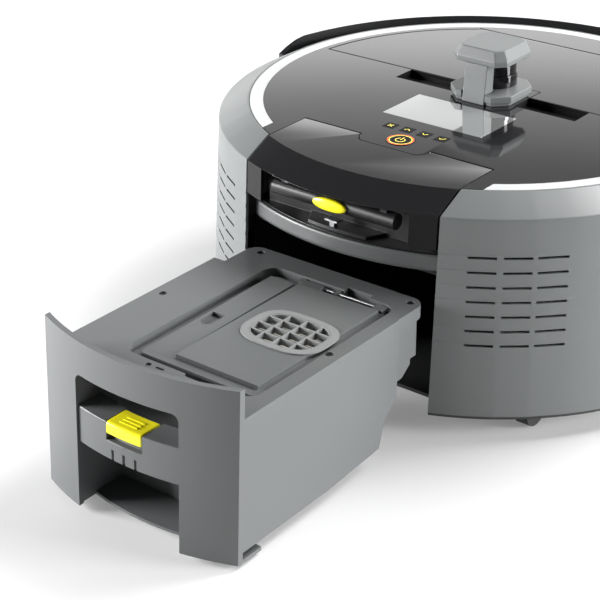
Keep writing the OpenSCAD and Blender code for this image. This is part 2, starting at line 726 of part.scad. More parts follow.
module caster_fork(spot) color("#7b7e80") translate([spot[0], spot[1], 0]) difference() {
    union() {
        cylinder(r = pivot_r, h = 51.5);
        cylinder(r = 14, h = 44.5);
        for (s = [-1, 1]) span([s * 10.5 - 1.5, s * 10.5 + 1.5], [-caster_trail - 7, 8], [13, 44.5]);
    }
    span([-9, 9], [-far, far], [-1, 42]);
    span([-20, 20], [-far, far], [-1, 13]);
    span([12, 20], [-far, far], [-1, 60]);
    span([-20, -12], [-far, far], [-1, 60]);
    rod_x(3 + fit, -20, 20, -caster_trail, caster_r);
}
module caster_wheel(spot) color("#1f2021") translate([spot[0], spot[1], 0]) {
    rod_x(caster_r, -8, 8, -caster_trail, caster_r);
    rod_x(3, -12, 12, -caster_trail, caster_r);
}
module caster_fork_front() caster_fork(caster_spots[0]);
module caster_fork_left() caster_fork(caster_spots[1]);
module caster_fork_right() caster_fork(caster_spots[2]);
module caster_wheel_front() caster_wheel(caster_spots[0]);
module caster_wheel_left() caster_wheel(caster_spots[1]);
module caster_wheel_right() caster_wheel(caster_spots[2]);

module roller_brush() color("#202224") {
    rod_x(15, -149, 149, roller_y, 34);
    rod_x(axle_r, -156, 156, roller_y, 34);
    for (a = [0:45:315]) translate([0, roller_y, 34]) rotate([a, 0, 0])
        span([-147, 147], [-2.5, 2.5], [13, roller_r]);
}

module side_brush(spot) color("#232527") translate([spot[0], spot[1], 0]) {
    translate([0, 0, 12]) cylinder(r = 16, h = 9);
    translate([0, 0, 12]) cylinder(r = 4, h = 37);
    for (a = [30, 150, 270]) rotate([0, 0, a]) span([12, 54], [-4, 4], [6, 14]);
}
module side_brush_left() side_brush(brush_spots[0]);
module side_brush_right() side_brush(brush_spots[1]);

base_pan();
side_panel_left();
side_panel_right();
top_deck();
light_ring();
display_screen();
control_board();
rear_band();
recess_shelf();
striker_plate();
exhaust_filter();
battery_pack();
bay_tray();
bay_wall_left();
bay_wall_right();
bay_ceiling();
bay_end_wall();
port_seal();
suction_duct();
brush_housing();
fan_housing();
fan_motor();
tower_base();
tower_bracket();
lidar_housing();
charge_contacts();
side_brush_motors();
hinge_pins();
drawer_front();
drawer_tub();
tub_top();
drawer_grip();
tub_screws();
container_hinge_pin();
drawer_latch();
container_lid();
filter_grid();
pleated_filter();
service_lid();
lid_grip();
lid_button();
front_hatch();
bumper();
key_cancel();
key_up();
key_down();
key_confirm();
power_button();
lidar_rotor();
wheel_arm_left();
wheel_arm_right();
wheel_hub_left();
wheel_hub_right();
wheel_tyre_left();
wheel_tyre_right();
caster_fork_front();
caster_fork_left();
caster_fork_right();
caster_wheel_front();
caster_wheel_left();
caster_wheel_right();
roller_brush();
side_brush_left();
side_brush_right();
fan_impeller();
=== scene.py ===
"""Looks of a round robotic floor vacuum with a pull-out dust drawer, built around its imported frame."""

import json
import math

import bmesh
import bpy
import numpy as np
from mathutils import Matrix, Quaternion, Vector


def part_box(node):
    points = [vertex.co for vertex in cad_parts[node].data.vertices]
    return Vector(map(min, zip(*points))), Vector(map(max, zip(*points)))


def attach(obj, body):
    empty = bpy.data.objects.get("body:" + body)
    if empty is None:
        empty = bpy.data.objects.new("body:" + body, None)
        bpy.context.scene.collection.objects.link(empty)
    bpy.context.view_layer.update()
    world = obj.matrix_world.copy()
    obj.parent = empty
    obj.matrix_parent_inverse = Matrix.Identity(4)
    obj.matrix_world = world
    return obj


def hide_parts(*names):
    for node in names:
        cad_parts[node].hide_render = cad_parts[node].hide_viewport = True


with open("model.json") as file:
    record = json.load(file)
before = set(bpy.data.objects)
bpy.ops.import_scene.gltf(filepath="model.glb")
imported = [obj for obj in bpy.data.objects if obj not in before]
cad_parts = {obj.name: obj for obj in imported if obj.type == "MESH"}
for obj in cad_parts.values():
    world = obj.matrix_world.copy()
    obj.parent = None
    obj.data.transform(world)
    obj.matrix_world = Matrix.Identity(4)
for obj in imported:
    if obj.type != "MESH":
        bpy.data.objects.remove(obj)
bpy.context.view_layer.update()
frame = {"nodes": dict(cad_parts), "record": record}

MM = 0.001
NODE_BODY = {node: body for body, nodes in frame["record"]["behaviour"]["bodies"].items() for node in nodes}
NODE_SLOT = {part["node"]: part["material_slot"] for part in frame["record"]["subparts"]}


# ---------------------------------------------------------------- driving sizes, some read from the frame
def low(node):
    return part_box(node)[0]


def high(node):
    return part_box(node)[1]


DECK_Z = high("top_deck").z
SKIRT_Z = low("side_panel_right").z      # lower edge of the flared wall
SKIRT_R = 310 * MM                       # radius there
SHELL_R = 300 * MM                       # radius at the shoulder
SHOULDER_Z = 243 * MM
DECK_EDGE_R = 267.7 * MM                 # where the shoulder's slope meets the deck
RING_EDGE_R = high("light_ring").x + 0.4 * MM
WALL = 3 * MM                            # thickness of the side panels
SLOT_HALF = 121.2 * MM                   # half width of the drawer's slot in the shell
EDGE_LEAN = 1.2 * MM                     # room for the wall's inner edge, which leans into the slot
BUMPER_ANGLE = 92.3                      # where the flared wall steps in under the bumper, degrees from -Y
HATCH_R = 241 * MM                       # radius of the front hatch
HATCH_FRONT_Y = 199 * MM                 # where the hatch's arc meets its hinge
VENT_Z = 107 * MM                        # middle of the lowest vents
VENT_PITCH = 15.9 * MM
VENT_ROWS = 7
VENT_H = 2.6 * MM
VENT_ANGLES = ((29.5, 35.0), (36.25, 41.75), (42.7, 48.65))
RIDGE_H = 0.5 * MM                       # height of the ridge over a row of vents


# ---------------------------------------------------------------- shader groups
def new_group(name, inputs, outputs):
    """A shader node group; inputs are (name, kind, value) and outputs (name, kind)."""
    group = bpy.data.node_groups.new(name, "ShaderNodeTree")
    for label, kind, value in inputs:
        socket = group.interface.new_socket(label, in_out="INPUT", socket_type=kind)
        if value is not None:
            socket.default_value = value
    for label, kind in outputs:
        group.interface.new_socket(label, in_out="OUTPUT", socket_type=kind)
    return group, group.nodes.new("NodeGroupInput"), group.nodes.new("NodeGroupOutput")


def node(tree, kind, **settings):
    """A shader node with its settings; a name that starts with in_ sets an input socket."""
    made = tree.nodes.new(kind)
    for label, value in settings.items():
        if label.startswith("in_"):
            made.inputs[label[3:].replace("_", " ")].default_value = value
        else:
            setattr(made, label, value)
    return made


def mould_grain_group():
    """Fine moulded grain: high noise as a height, and slow noise as patches that vary the gloss."""
    group, start, end = new_group(
        "mould_grain",
        [("Vector", "NodeSocketVector", None), ("Grain Scale", "NodeSocketFloat", 1300.0),
         ("Patch Scale", "NodeSocketFloat", 9.0)],
        [("Height", "NodeSocketFloat"), ("Patches", "NodeSocketFloat")])
    grain = node(group, "ShaderNodeTexNoise", in_Detail=2.0)
    patches = node(group, "ShaderNodeTexNoise", in_Detail=4.0, in_Roughness=0.6)
    group.links.new(start.outputs["Vector"], grain.inputs["Vector"])
    group.links.new(start.outputs["Vector"], patches.inputs["Vector"])
    group.links.new(start.outputs["Grain Scale"], grain.inputs["Scale"])
    group.links.new(start.outputs["Patch Scale"], patches.inputs["Scale"])
    group.links.new(grain.outputs["Fac"], end.inputs["Height"])
    group.links.new(patches.outputs["Fac"], end.inputs["Patches"])
    return group


def dust_group():
    """Faint dust: a colour mixed towards pale grey where the surface faces up and a fine noise is high."""
    group, start, end = new_group(
        "fine_dust",
        [("Vector", "NodeSocketVector", None), ("Color", "NodeSocketColor", (0.5, 0.5, 0.5, 1)),
         ("Amount", "NodeSocketFloat", 0.05)],
        [("Color", "NodeSocketColor")])
    noise = node(group, "ShaderNodeTexNoise", in_Scale=650.0, in_Detail=2.0, in_Roughness=0.6)
    ramp = node(group, "ShaderNodeMapRange", in_From_Min=0.5, in_From_Max=0.75)
    geometry = node(group, "ShaderNodeNewGeometry")
    upward = node(group, "ShaderNodeSeparateXYZ")
    facing = node(group, "ShaderNodeMath", operation="MAXIMUM")
    facing.inputs[1].default_value = 0.1
    both = node(group, "ShaderNodeMath", operation="MULTIPLY")
    scaled = node(group, "ShaderNodeMath", operation="MULTIPLY")
    mix = node(group, "ShaderNodeMix", data_type="RGBA")
    link = group.links.new
    link(start.outputs["Vector"], noise.inputs["Vector"])
    link(noise.outputs["Fac"], ramp.inputs["Value"])
    link(geometry.outputs["Normal"], upward.inputs[0])
    link(upward.outputs["Z"], facing.inputs[0])
    link(ramp.outputs["Result"], both.inputs[0])
    link(facing.outputs[0], both.inputs[1])
    link(both.outputs[0], scaled.inputs[0])
    link(start.outputs["Amount"], scaled.inputs[1])
    link(scaled.outputs[0], mix.inputs["Factor"])
    link(start.outputs["Color"], mix.inputs["A"])
    mix.inputs["B"].default_value = (0.55, 0.54, 0.52, 1)
    link(mix.outputs["Result"], end.inputs["Color"])
    return group


def tone_group():
    """Slow tone variation: a colour made slightly lighter and darker by a low noise."""
    group, start, end = new_group(
        "tone_drift",
        [("Color", "NodeSocketColor", (0.5, 0.5, 0.5, 1)), ("Patches", "NodeSocketFloat", 0.5),
         ("Drift", "NodeSocketFloat", 0.06)],
        [("Color", "NodeSocketColor")])
    centred = node(group, "ShaderNodeMath", operation="SUBTRACT")
    centred.inputs[1].default_value = 0.5
    gain = node(group, "ShaderNodeMath", operation="MULTIPLY_ADD")
    gain.inputs[2].default_value = 1.0
    scale = node(group, "ShaderNodeVectorMath", operation="SCALE")
    link = group.links.new
    link(start.outputs["Patches"], centred.inputs[0])
    link(centred.outputs[0], gain.inputs[0])
    link(start.outputs["Drift"], gain.inputs[1])
    link(start.outputs["Color"], scale.inputs[0])
    link(gain.outputs[0], scale.inputs["Scale"])
    link(scale.outputs["Vector"], end.inputs["Color"])
    return group


GRAIN = mould_grain_group()
DUST = dust_group()
TONE = tone_group()


def surface_material(name, colour, rough, grain=0.01, grain_scale=1300.0, drift=0.04, dust=0.01, vary=0.04,
                     metal=0.0, coat=0.0, ior=1.5):
    """A finish with grain as bump, gloss that varies in slow patches, tone drift and faint dust."""
    material = bpy.data.materials.new(name)
    material.use_nodes = True
    tree = material.node_tree
    shader = tree.nodes["Principled BSDF"]
    shader.inputs["Metallic"].default_value = metal
    shader.inputs["Coat Weight"].default_value = coat
    shader.inputs["Coat Roughness"].default_value = 0.03
    shader.inputs["IOR"].default_value = ior
    place = node(tree, "ShaderNodeTexCoord")
    texture = node(tree, "ShaderNodeGroup", node_tree=GRAIN)
    texture.inputs["Grain Scale"].default_value = grain_scale
    tone = node(tree, "ShaderNodeGroup", node_tree=TONE)
    tone.inputs["Color"].default_value = (*colour, 1)
    tone.inputs["Drift"].default_value = drift
    specks = node(tree, "ShaderNodeGroup", node_tree=DUST)
    specks.inputs["Amount"].default_value = dust
    gloss = node(tree, "ShaderNodeMapRange", in_From_Min=0.3, in_From_Max=0.7)
    gloss.inputs["To Min"].default_value = max(rough - vary, 0.02)
    gloss.inputs["To Max"].default_value = rough + vary
    bump = node(tree, "ShaderNodeBump", in_Strength=grain, in_Distance=0.0004)
    link = tree.links.new
    link(place.outputs["Object"], texture.inputs["Vector"])
    link(place.outputs["Object"], specks.inputs["Vector"])
    link(texture.outputs["Patches"], tone.inputs["Patches"])
    link(tone.outputs["Color"], specks.inputs["Color"])
    link(specks.outputs["Color"], shader.inputs["Base Color"])
    link(texture.outputs["Patches"], gloss.inputs["Value"])
    link(gloss.outputs["Result"], shader.inputs["Roughness"])
    link(texture.outputs["Height"], bump.inputs["Height"])
    link(bump.outputs["Normal"], shader.inputs["Normal"])
    return material


def glow(material, colour, strength):
    """Lets a finish give a little light of its own."""
    shader = material.node_tree.nodes["Principled BSDF"]
    shader.inputs["Emission Color"].default_value = (*colour, 1)
    shader.inputs["Emission Strength"].default_value = strength
    return material


FINISH = {
    "shell_grey": surface_material("satin_grey_shell", (0.138, 0.145, 0.146), 0.36, grain=0.012, ior=1.45),
    "drawer_grey": surface_material("satin_grey_drawer", (0.112, 0.117, 0.119), 0.33, grain=0.012, ior=1.42),
    "deck_black": surface_material("gloss_black_deck", (0.012, 0.012, 0.013), 0.055, grain=0.0,
                                   vary=0.012, drift=0.1, dust=0.012, ior=1.75),
    "trim_black": surface_material("satin_black_trim", (0.008, 0.008, 0.009), 0.34, grain=0.02),
    "light_white": surface_material("milky_light_ring", (0.50, 0.51, 0.51), 0.34, grain=0.01, drift=0.02),
    "screen": surface_material("display_glass", (0.74, 0.75, 0.75), 0.05, grain=0.0, vary=0.01,
                               drift=0.03, metal=0.85),
    "yellow": surface_material("lemon_yellow_plastic", (0.86, 0.77, 0.015), 0.22, grain=0.01,
                               drift=0.05, vary=0.02, coat=0.25),
    "board_green": surface_material("green_board", (0.02, 0.10, 0.045), 0.35, grain=0.2,
                                    grain_scale=700.0),
    "steel": surface_material("ground_steel", (0.52, 0.53, 0.54), 0.33, grain=0.15, metal=1.0, dust=0.01),
    "brass": surface_material("plated_brass", (0.72, 0.50, 0.20), 0.22, grain=0.05, vary=0.03,
                              metal=1.0, dust=0.01),
    "filter_paper": surface_material("filter_paper", (0.76, 0.74, 0.67), 0.85, grain=0.5,
                                     grain_scale=1400.0, dust=0.2),
    "inner_dark": surface_material("dark_inner_plastic", (0.022, 0.023, 0.024), 0.42, grain=0.05,
                                   dust=0.03),
    "battery_shell": surface_material("battery_shell", (0.03, 0.032, 0.035), 0.40, grain=0.2, dust=0.05),
    "motor_metal": surface_material("cast_motor_metal", (0.42, 0.43, 0.44), 0.38, grain=0.3, metal=0.9),
    "hub_grey": surface_material("hub_plastic", (0.22, 0.225, 0.23), 0.38, grain=0.1, dust=0.08),
    "rubber": surface_material("black_rubber", (0.012, 0.012, 0.012), 0.66, grain=0.4,
                               grain_scale=1500.0, dust=0.12),
    "bristle": surface_material("dark_bristle", (0.010, 0.010, 0.011), 0.55, grain=0.5,
                                grain_scale=3000.0, dust=0.1),
}
# a dull black of low reflection for the standing faces of the deck and the lid: painted shade in their seams
# and on the lid's legs
SHADED_SIDES_BLACK = surface_material("matt_black_painted_shade_sides", (0.006, 0.006, 0.006), 0.5, grain=0.02, dust=0.0, ior=1.28)
BAND_GREY = surface_material("darker_grey_band", (0.075, 0.079, 0.080), 0.35, grain=0.012)
ICON_YELLOW = glow(surface_material("icon_yellow", (0.85, 0.72, 0.10), 0.35, dust=0.0),
                   (0.9, 0.75, 0.15), 0.25)
ICON_RED = glow(surface_material("icon_red", (0.75, 0.12, 0.03), 0.35, dust=0.0), (0.9, 0.15, 0.04), 0.2)
KEY_BLACK = surface_material("matt_black_keys", (0.004, 0.004, 0.004), 0.62, grain=0.02, dust=0.0, ior=1.25)
SCREW_DARK = surface_material("blackened_screws", (0.05, 0.05, 0.052), 0.35, grain=0.1, metal=0.8)
SENSOR_GLOSS = surface_material("gloss_black_sensor", (0.006, 0.006, 0.007), 0.08, grain=0.0, dust=0.0)
GRID_TEXTURE = surface_material("spark_textured_grid", (0.20, 0.205, 0.205), 0.42, grain=0.9,
                                grain_scale=900.0)


# ---------------------------------------------------------------- making pieces
def mesh_piece(name, verts, faces, smooth=True):
    """An object from arrays of corners and faces, at the origin, with its place in its mesh."""
    mesh = bpy.data.meshes.new(name)
    mesh.from_pydata(np.asarray(verts, float).reshape(-1, 3).tolist(), [], [list(f) for f in faces])
    mesh.polygons.foreach_set("use_smooth", [smooth] * len(mesh.polygons))
    mesh.update()
    made = bpy.data.objects.new(name, mesh)
    bpy.context.scene.collection.objects.link(made)
    return made


def grid_faces(rows, cols, wrap_rows=False, wrap_cols=False, skip=None):
    """Quads between neighbouring points of a rows x cols grid, less the cells that skip marks."""
    r = np.arange(rows if wrap_rows else rows - 1)
    c = np.arange(cols if wrap_cols else cols - 1)
    rr, cc = np.meshgrid(r, c, indexing="ij")
    if skip is not None:
        keep = ~skip[: len(r), : len(c)]
        rr, cc = rr[keep], cc[keep]
    rr, cc = rr.ravel(), cc.ravel()
    r2, c2 = (rr + 1) % rows, (cc + 1) % cols
    return np.stack([rr * cols + cc, rr * cols + c2, r2 * cols + c2, r2 * cols + cc], 1)


def round_corners(points, radii, steps=5):
    """The outline with each inner corner replaced by a quadratic curve one radius long on each side."""
    points = [np.array(p, float) for p in points]
    out = [points[0]]
    for before, corner, after, radius in zip(points, points[1:], points[2:], radii):
        a = corner + (before - corner) / np.linalg.norm(before - corner) * radius
        b = corner + (after - corner) / np.linalg.norm(after - corner) * radius
        t = np.linspace(0, 1, steps)[:, None]
        out.extend((1 - t) ** 2 * a + 2 * t * (1 - t) * corner + t ** 2 * b)
    out.append(points[-1])
    return np.array(out)


def tidy_normals(made):
    """Merges doubles and turns every face outwards."""
    work = bmesh.new()
    work.from_mesh(made.data)
    bmesh.ops.remove_doubles(work, verts=work.verts, dist=1e-7)
    bmesh.ops.recalc_face_normals(work, faces=work.faces)
    work.to_mesh(made.data)
    work.free()
    return made


def sharpen(made, degrees=35):
    """Marks edges sharper than an angle, so that flats stay flat and curves stay smooth."""
    work = bmesh.new()
    work.from_mesh(made.data)
    limit = math.radians(degrees)
    for edge in work.edges:
        edge.smooth = len(edge.link_faces) == 2 and edge.calc_face_angle(0) < limit
    for face in work.faces:
        face.smooth = True
    work.to_mesh(made.data)
    work.free()
    return made


def bevelled(made, width, segments=2, degrees=35):
    """Softens every edge sharper than an angle."""
    bevel = made.modifiers.new("softened_edges", "BEVEL")
    bevel.width = width
    bevel.segments = segments
    bevel.limit_method = "ANGLE"
    bevel.angle_limit = math.radians(degrees)
    bevel.harden_normals = True
    bevel.use_clamp_overlap = True
    return made


def place(made, stands_for, material=None, replaces=True, slot=None):
    """The piece takes a node's body, slot and finish, and may stand for that node."""
    made.data.materials.clear()
    made.data.materials.append(material or FINISH[slot or NODE_SLOT[stands_for]])
    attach(made, NODE_BODY[stands_for])
    if replaces:
        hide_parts(stands_for)
    return made


def refined(name, width=0.5 * MM, segments=2, material=None, degrees=22, rounds=(), clamp=True,
            shaded_sides_finish=None):
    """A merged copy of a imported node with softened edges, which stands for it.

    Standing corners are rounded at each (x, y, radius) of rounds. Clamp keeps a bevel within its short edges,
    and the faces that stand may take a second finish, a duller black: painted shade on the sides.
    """
    work = bmesh.new()
    work.from_mesh(frame["nodes"][name].data)
    bmesh.ops.remove_doubles(work, verts=work.verts, dist=2e-6)
    bmesh.ops.dissolve_limit(work, angle_limit=math.radians(0.6), verts=work.verts, edges=work.edges)
    for x, y, radius in rounds:
        standing = [edge for edge in work.edges
                    if all(abs(v.co.x - x) < 0.1 * MM and abs(v.co.y - y) < 0.1 * MM for v in edge.verts)]
        bmesh.ops.bevel(work, geom=standing, offset=radius, segments=5, profile=0.5, affect="EDGES",
                        clamp_overlap=True)
    mesh = bpy.data.meshes.new(name + "_finished")
    work.to_mesh(mesh)
    work.free()
    made = bpy.data.objects.new(name + "_finished", mesh)
    bpy.context.scene.collection.objects.link(made)
    sharpen(made, degrees)
    bevelled(made, width, segments, degrees).modifiers[0].use_clamp_overlap = clamp
    place(made, name, material)
    # faces that stand take the duller black: painted shade on the sides
    if shaded_sides_finish:
        made.data.materials.append(shaded_sides_finish)
        normals = np.empty((len(made.data.polygons), 3))
        made.data.polygons.foreach_get("normal", normals.ravel())
        made.data.polygons.foreach_set("material_index", (np.abs(normals[:, 2]) < 0.3).astype(np.int32))
    return made


def flat_ring(name, centre, r0, r1, z0, z1, stands_for, material, start=0, end=360, steps=48):
    """A flat ring or arc of rectangular section round a centre."""
    whole = end - start >= 360
    a = np.radians(np.linspace(start, end, steps, endpoint=not whole))
    section = np.array([(r0, z0), (r1, z0), (r1, z1), (r0, z1)])
    points = np.stack([centre[0] + section[:, :1] * np.cos(a), centre[1] + section[:, :1] * np.sin(a),
                       section[:, 1:] + 0 * a], -1)
    faces = list(grid_faces(4, steps, wrap_rows=True, wrap_cols=whole))
    if not whole:
        faces += [[k * steps for k in range(4)], [k * steps + steps - 1 for k in (3, 2, 1, 0)]]
    made = tidy_normals(mesh_piece(name, points, faces, smooth=False))
    return place(made, stands_for, material, replaces=False)


def stroke(name, points, width, z0, z1, stands_for, material):
    """A flat ribbon along a line of points, its sides square to the mean direction at each point."""
    p = np.array(points, float)
    along = np.gradient(p, axis=0)
    along /= np.linalg.norm(along, axis=1)[:, None]
    side = np.stack([-along[:, 1], along[:, 0]], 1) * width / 2
    corners = ((1, z0), (-1, z0), (-1, z1), (1, z1))
    rims = [np.column_stack([p + side * s, np.full(len(p), z)]) for s, z in corners]
    n = len(p)
    faces = list(grid_faces(4, n, wrap_rows=True))
    faces += [[0, n, 2 * n, 3 * n], [n - 1, 4 * n - 1, 3 * n - 1, 2 * n - 1]]
    made = tidy_normals(mesh_piece(name, np.array(rims), faces, smooth=False))
    return place(made, stands_for, material, replaces=False)


# ---------------------------------------------------------------- camera, light and floor
def studio():
    """Camera, floor, three soft boxes and a sky that is bright low down and dark overhead."""
    scene = bpy.context.scene
    camera = bpy.data.objects.new("camera", bpy.data.cameras.new("camera"))
    scene.collection.objects.link(camera)
    azimuth, elevation, roll = (math.radians(v) for v in (38.2, 26.9, -0.36))
    back = Vector((math.sin(azimuth) * math.cos(elevation), -math.cos(azimuth) * math.cos(elevation),
                   math.sin(elevation)))
    camera.location = (0.9554, -1.5574, 0.9286)
    camera.rotation_mode = "QUATERNION"
    camera.rotation_quaternion = (-back).to_track_quat("-Z", "Y")
    camera.rotation_quaternion.rotate(Quaternion(back, roll))
    camera.data.sensor_width = 36
    camera.data.lens = 102.76
    camera.data.shift_x = 0.0033
    camera.data.shift_y = -0.0033
    camera.data.clip_end = 30
    scene.camera = camera

    floor = mesh_piece("floor", [(-9, -9, 0), (9, -9, 0), (9, 9, 0), (-9, 9, 0)], [(0, 1, 2, 3)],
                       smooth=False)
    paint = surface_material("pale_floor", (0.54, 0.54, 0.54), 0.8, grain=0.0, drift=0.01, dust=0.0)
    floor.data.materials.append(glow(paint, (1.0, 1.0, 1.0), 0.20))

    def soft_light(name, place_at, look_at, size, power):
        data = bpy.data.lights.new(name, "AREA")
        data.shape = "RECTANGLE"
        data.size, data.size_y = size
        data.energy = power
        lamp = bpy.data.objects.new(name, data)
        scene.collection.objects.link(lamp)
        lamp.location = place_at
        lamp.rotation_euler = (Vector(look_at) - Vector(place_at)).to_track_quat("-Z", "Y").to_euler()

    soft_light("left_softbox", (-1.7, -1.5, 0.6), (-0.1, -0.45, 0.1), (0.9, 0.9), 112)
    soft_light("right_softbox", (2.8, 0.9, 0.75), (0, -0.2, 0.12), (1.0, 1.3), 158)
    soft_light("top_softbox", (0.9, 1.5, 2.5), (0, -0.2, 0.12), (1.5, 1.5), 140)

    world = bpy.data.worlds.new("studio")
    scene.world = world
    world.use_nodes = True
    tree = world.node_tree
    background = tree.nodes["Background"]
    direction = node(tree, "ShaderNodeTexCoord")
    parts = node(tree, "ShaderNodeSeparateXYZ")
    ramp = node(tree, "ShaderNodeValToRGB")
    # sine of the height in the sky, and the light there
    steps = ((0.27, 2.3), (0.315, 2.0), (0.345, 0.9), (0.38, 0.36), (0.45, 0.2), (0.62, 0.07))
    while len(ramp.color_ramp.elements) < len(steps):
        ramp.color_ramp.elements.new(0.5)
    for stop, (position, level) in zip(ramp.color_ramp.elements, steps):
        stop.position = position
        stop.color = (level, level, level, 1)
    behind = node(tree, "ShaderNodeMapRange", in_From_Min=-0.3, in_From_Max=0.5, in_To_Min=0.06,
                  in_To_Max=1.0)
    dimmed = node(tree, "ShaderNodeVectorMath", operation="SCALE")
    tree.links.new(direction.outputs["Generated"], parts.inputs[0])
    tree.links.new(parts.outputs["Z"], ramp.inputs["Fac"])
    tree.links.new(parts.outputs["Y"], behind.inputs["Value"])
    tree.links.new(ramp.outputs["Color"], dimmed.inputs[0])
    tree.links.new(behind.outputs["Result"], dimmed.inputs["Scale"])
    tree.links.new(dimmed.outputs["Vector"], background.inputs["Color"])
    background.inputs["Strength"].default_value = 1.0
    scene.view_settings.view_transform = "Standard"


# ---------------------------------------------------------------- outer shell
def cone_radius(z):
    """Radius of the flared wall at height z."""
    return SKIRT_R - (z - SKIRT_Z) * (SKIRT_R - SHELL_R) / (SHOULDER_Z - SKIRT_Z)


def side_panel(side):
    """Flared wall, shoulder and lip as one sheet: radius is a function of height and of the angle from -Y.

    Rows follow the section, columns the angle. The first column lies along the slot's flat edge: its angle
    is the arcsine of the slot's half width, with the room for the lean, over the radius. Cells at the vents
    are left out, and from the slot to the last vent a low ridge runs over each row of vents.
    """
    vents = [VENT_Z + k * VENT_PITCH for k in range(VENT_ROWS)]
    wall_top = SHOULDER_Z - 4 * MM
    heights = {SKIRT_Z, wall_top}
    for z in vents:
        heights |= {z + step * MM for step in (-1.3, 1.3, 2.0, 2.7, 5.3, 8.0)}
    heights |= set(np.linspace(SKIRT_Z, vents[0] - 5 * MM, 6)) | {vents[0] - 5 * MM}
    heights |= set(np.linspace(vents[-1] + VENT_PITCH, wall_top, 3))
    wall_z = np.array(sorted(heights))
    shoulder = round_corners(
        [(cone_radius(wall_top), wall_top), (SHELL_R, SHOULDER_Z), (DECK_EDGE_R, DECK_Z),
         (DECK_EDGE_R - 1.6 * MM, DECK_Z), (RING_EDGE_R, DECK_Z - 2 * MM), (RING_EDGE_R, DECK_Z - 6 * MM)],
        [1.6 * MM, 1.0 * MM, 0.6 * MM, 0.5 * MM])
    section = np.vstack([np.column_stack([cone_radius(wall_z), wall_z]), shoulder[1:]])
    edge_cols = [0, 0.3, 0.65]      # shares of the way from the slot's edge to the first fixed angle
    fixed = {28.2, BUMPER_ANGLE, BUMPER_ANGLE + 0.01} | {v for pair in VENT_ANGLES for v in pair}
    fixed = np.array(sorted(fixed | set(np.arange(51, 92, 2.5)) | set(np.arange(95, 181, 2.5))))
    radius = section[:, 0][:, None] + np.zeros((1, len(edge_cols) + len(fixed)))
    z = section[:, 1][:, None] + 0 * radius
    slot_angle = np.degrees(np.arcsin((SLOT_HALF + EDGE_LEAN) / section[:, 0]))
    angle = np.empty_like(radius)
    for k, part in enumerate(edge_cols):
        angle[:, k] = slot_angle + (fixed[0] - slot_angle) * part
    angle[:, len(edge_cols):] = fixed[None, :]
    front = angle > BUMPER_ANGLE + 0.005
    radius = np.where(front & (z <= SHOULDER_Z), np.minimum(radius, SHELL_R), radius)
    above = (z[..., None] - np.array(vents)) / MM
    ridge = np.interp(above, [2.0, 2.7, 5.3, 8.0], [0, 1, 0.6, 0]).max(-1) * RIDGE_H
    radius = radius + ridge * np.clip((VENT_ANGLES[-1][1] + 0.9 - angle) / 0.9, 0, 1)
    a = np.radians(angle)
    points = np.stack([radius * np.sin(a), -radius * np.cos(a), z], -1)
    mid_z = (z[1:, 1:] + z[:-1, :-1]) / 2
    mid_a = (angle[:-1, 1:] + angle[:-1, :-1]) / 2
    skip = np.zeros(mid_z.shape, bool)
    for base in vents:
        for first, final in VENT_ANGLES:
            skip |= (np.abs(mid_z - base) < VENT_H / 2) & (mid_a > first) & (mid_a < final)
    faces = grid_faces(*z.shape, skip=skip)
    if side < 0:
        points[..., 0] *= -1
        faces = faces[:, ::-1]
    name = "side_panel_right" if side > 0 else "side_panel_left"
    made = mesh_piece(name + "_skin", points, faces)
    thick = made.modifiers.new("wall", "SOLIDIFY")
    thick.thickness = WALL
    thick.offset = -1
    sharpen(made, 15)
    bevelled(made, 0.6 * MM, 2, 40)
    return place(made, name)


def rear_band():
    """Curved band set back in the slot: a strip of a cone whose ends roll inwards on a small radius."""
    lo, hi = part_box("rear_band")
    half = hi.x
    outer = -lo.y
    u = np.linspace(-1, 1, 49)
    x = half * np.sin(u * math.pi / 2)
    roll = np.clip((np.abs(x) - (half - 3 * MM)) / (3 * MM), 0, 1)
    back = 3 * MM * (1 - np.sqrt(np.clip(1 - roll ** 2, 0, 1)))
    z = np.linspace(lo.z, hi.z, 9)
    lean = np.interp(z, [lo.z, lo.z + 0.8 * MM, hi.z - 0.8 * MM, hi.z], [0.7 * MM, 0, 0, 0.7 * MM])
    slope = (z - lo.z) * (SKIRT_R - SHELL_R) / (SHOULDER_Z - SKIRT_Z)
    r = outer - slope[:, None] - lean[:, None] - back[None, :]
    y = -np.sqrt(np.maximum(r ** 2 - x[None, :] ** 2, 0))
    points = np.stack([x[None, :] + 0 * r, y, z[:, None] + 0 * r], -1)
    made = mesh_piece("rear_band_skin", points, grid_faces(len(z), len(x)))
    thick = made.modifiers.new("wall", "SOLIDIFY")
    thick.thickness = 3.5 * MM
    thick.offset = -1
    return place(made, "rear_band", BAND_GREY)


def lid_button():
    """Oval button: rings of falling size s stacked along -Y, out by the height of a quarter ellipse.

    Each ring is a superellipse: x = a * |cos t|^(2/n) and z = b * |sin t|^(2/n), with the signs of the
    cosine and the sine.
    """
    lo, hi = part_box("lid_button")
    cx, cz = (lo.x + hi.x) / 2, (lo.z + hi.z) / 2
    turns = np.linspace(0, 2 * math.pi, 72, endpoint=False)
    power = 2 / 2.3
    ring_x = (hi.x - lo.x) / 2 * np.sign(np.cos(turns)) * np.abs(np.cos(turns)) ** power
    ring_z = (hi.z - lo.z) / 2 * np.sign(np.sin(turns)) * np.abs(np.sin(turns)) ** power
    rise = np.linspace(0, math.pi / 2, 10)
    size = np.concatenate([[0.92], 1 - 0.5 * (1 - np.cos(rise)), [0.25, 0.0]])
    out = np.concatenate([[0.0], 3.2 * MM + 2.5 * MM * np.sin(rise), [5.9 * MM, 6.0 * MM]])
    back = lo.y + 6 * MM
    points = np.stack([cx + size[:, None] * ring_x, back - out[:, None] + 0 * turns,
                       cz + size[:, None] * ring_z], -1)
    made = tidy_normals(mesh_piece("lid_button_dome", points, grid_faces(len(size), 72, wrap_cols=True)))
    return place(made, "lid_button")


